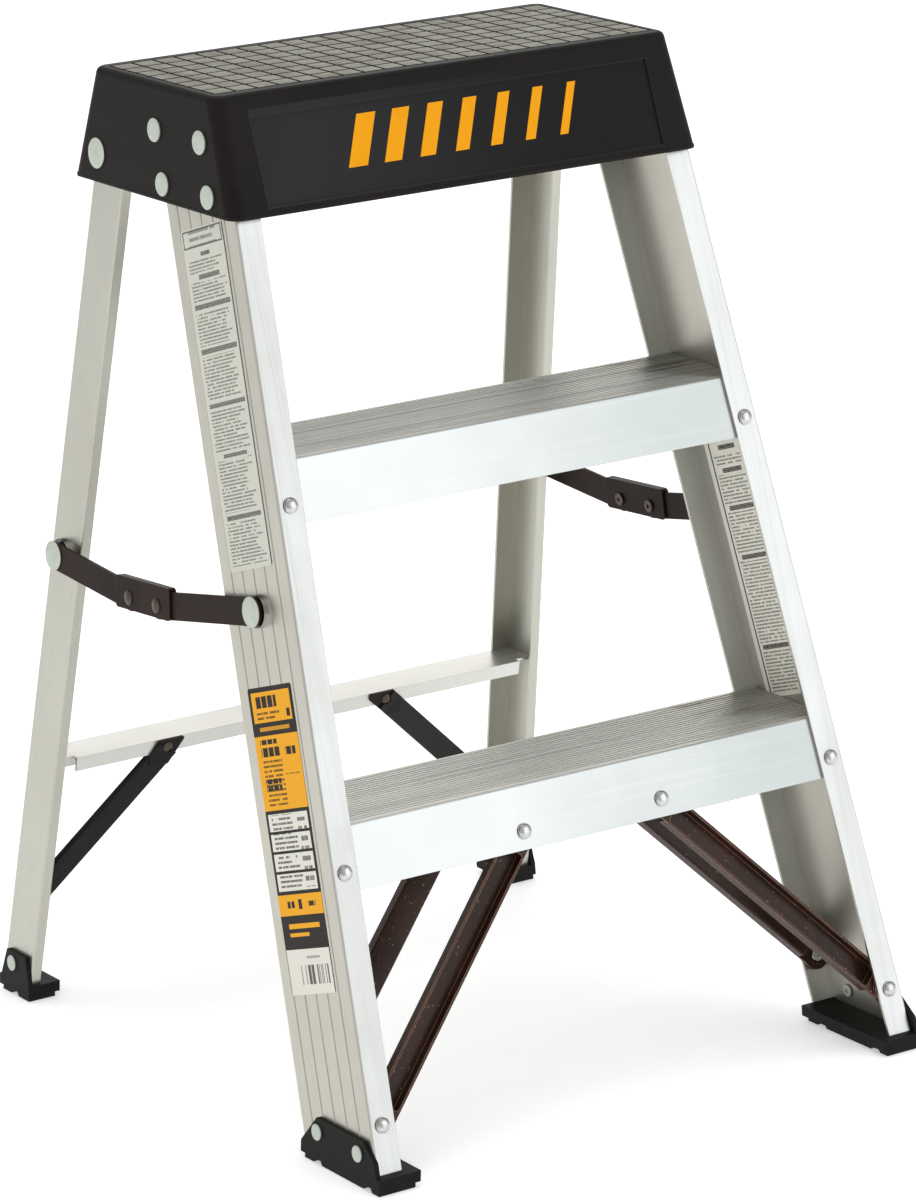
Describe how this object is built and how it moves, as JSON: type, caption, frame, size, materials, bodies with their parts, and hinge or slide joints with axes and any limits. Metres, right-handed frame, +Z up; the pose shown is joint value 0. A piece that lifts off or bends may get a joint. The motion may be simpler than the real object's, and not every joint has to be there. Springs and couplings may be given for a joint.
{
  "type": "step ladder",
  "caption": "Low folding step ladder: channel rails, ribbed steps, a moulded standing cap with a gripping top, a hinged rear frame with side spreaders, braces and notched feet.",
  "frame": {"origin": "on the floor under the middle of the ladder's overall box", "axes": "+Z up, +X to the climber's right, -Y towards the climber, so the steps face -Y and the rear frame is at +Y"},
  "size_m": [0.3902, 0.436, 0.594],
  "materials": {
    "cap_plastic": "matt black-brown moulded plastic",
    "rail_aluminium": "extruded aluminium with fine lengthwise lines",
    "step_aluminium": "ribbed extruded aluminium",
    "brace_steel": "glossy dark brown coated steel",
    "rear_brace_steel": "dark coated steel",
    "spreader_steel": "dark brown coated steel",
    "foot_plastic": "matt black moulded feet",
    "bright_rivet": "bright domed rivets",
    "pale_rivet": "dull pale flat rivet heads"
  },
  "bodies": {
    "front_frame": {"top_cap": "cap_plastic", "lower_step": "step_aluminium", "upper_step": "step_aluminium", "step_rivets": "bright_rivet", "brace_rivets": "bright_rivet", "cap_rivets": "pale_rivet", "front_foot_rivets": "pale_rivet", "left_front_rail": "rail_aluminium", "left_front_foot": "foot_plastic", "left_step_brace_front": "brace_steel", "left_step_brace_back": "brace_steel", "left_pivot_rivet": "pale_rivet", "left_pivot_washer": "bright_rivet", "left_spreader_front_pin": "pale_rivet", "left_spreader_front_washer": "bright_rivet", "right_front_rail": "rail_aluminium", "right_front_foot": "foot_plastic", "right_step_brace_front": "brace_steel", "right_step_brace_back": "brace_steel", "right_pivot_rivet": "pale_rivet", "right_pivot_washer": "bright_rivet", "right_spreader_front_pin": "pale_rivet", "right_spreader_front_washer": "bright_rivet"},
    "rear_frame": {"rear_crossbar": "rail_aluminium", "left_rear_brace": "rear_brace_steel", "right_rear_brace": "rear_brace_steel", "rear_foot_rivets": "pale_rivet", "crossbar_rivets": "bright_rivet", "rear_brace_rivets": "bright_rivet", "left_rear_rail": "rail_aluminium", "left_rear_foot": "foot_plastic", "left_spreader_rear_spacer": "bright_rivet", "right_rear_rail": "rail_aluminium", "right_rear_foot": "foot_plastic", "right_spreader_rear_spacer": "bright_rivet"},
    "left_front_bar": {"left_spreader_front_bar": "spreader_steel"},
    "left_link": {"left_spreader_link": "spreader_steel", "left_link_rivets": "bright_rivet"},
    "left_rear_bar": {"left_spreader_rear_bar": "spreader_steel", "left_spreader_rear_head": "pale_rivet"},
    "right_front_bar": {"right_spreader_front_bar": "spreader_steel"},
    "right_link": {"right_spreader_link": "spreader_steel", "right_link_rivets": "bright_rivet"},
    "right_rear_bar": {"right_spreader_rear_bar": "spreader_steel", "right_spreader_rear_head": "pale_rivet"}
  },
  "joints": [
    {"name": "rear_frame_fold", "type": "hinge", "parent": "front_frame", "child": "rear_frame", "pos_m": [0, 0.10298, 0.5436], "axis": [-1, 0, 0], "range_deg": [0, 32]},
    {"name": "left_front_bar_turn", "type": "hinge", "parent": "front_frame", "child": "left_front_bar", "pos_m": [-0.17269, -0.0763, 0.3074], "axis": [0.998, 0, -0.0638], "range_deg": [0, 71.04]},
    {"name": "left_link_turn", "type": "hinge", "parent": "left_front_bar", "child": "left_link", "pos_m": [-0.17388, 0.02581, 0.28868], "axis": [0.998, 0, -0.0638], "range_deg": [-67.28, 0]},
    {"name": "left_rear_bar_turn", "type": "hinge", "parent": "left_link", "child": "left_rear_bar", "pos_m": [-0.17401, 0.05694, 0.28664], "axis": [0.998, 0, -0.0638], "range_deg": [-96.59, 0]},
    {"name": "right_front_bar_turn", "type": "hinge", "parent": "front_frame", "child": "right_front_bar", "pos_m": [0.17269, -0.0763, 0.3074], "axis": [0.998, 0, 0.0638], "range_deg": [0, 71.04]},
    {"name": "right_link_turn", "type": "hinge", "parent": "right_front_bar", "child": "right_link", "pos_m": [0.17388, 0.02581, 0.28868], "axis": [0.998, 0, 0.0638], "range_deg": [-67.28, 0]},
    {"name": "right_rear_bar_turn", "type": "hinge", "parent": "right_link", "child": "right_rear_bar", "pos_m": [0.17401, 0.05694, 0.28664], "axis": [0.998, 0, 0.0638], "range_deg": [-96.59, 0]}
  ],
  "couplings": [
    {"joint": "left_front_bar_turn", "follows": "rear_frame_fold", "ratio": 2.2185},
    {"joint": "left_link_turn", "follows": "rear_frame_fold", "ratio": -2.101},
    {"joint": "left_rear_bar_turn", "follows": "rear_frame_fold", "ratio": -3.0168},
    {"joint": "right_front_bar_turn", "follows": "rear_frame_fold", "ratio": 2.2185},
    {"joint": "right_link_turn", "follows": "rear_frame_fold", "ratio": -2.101},
    {"joint": "right_rear_bar_turn", "follows": "rear_frame_fold", "ratio": -3.0168}
  ]
}
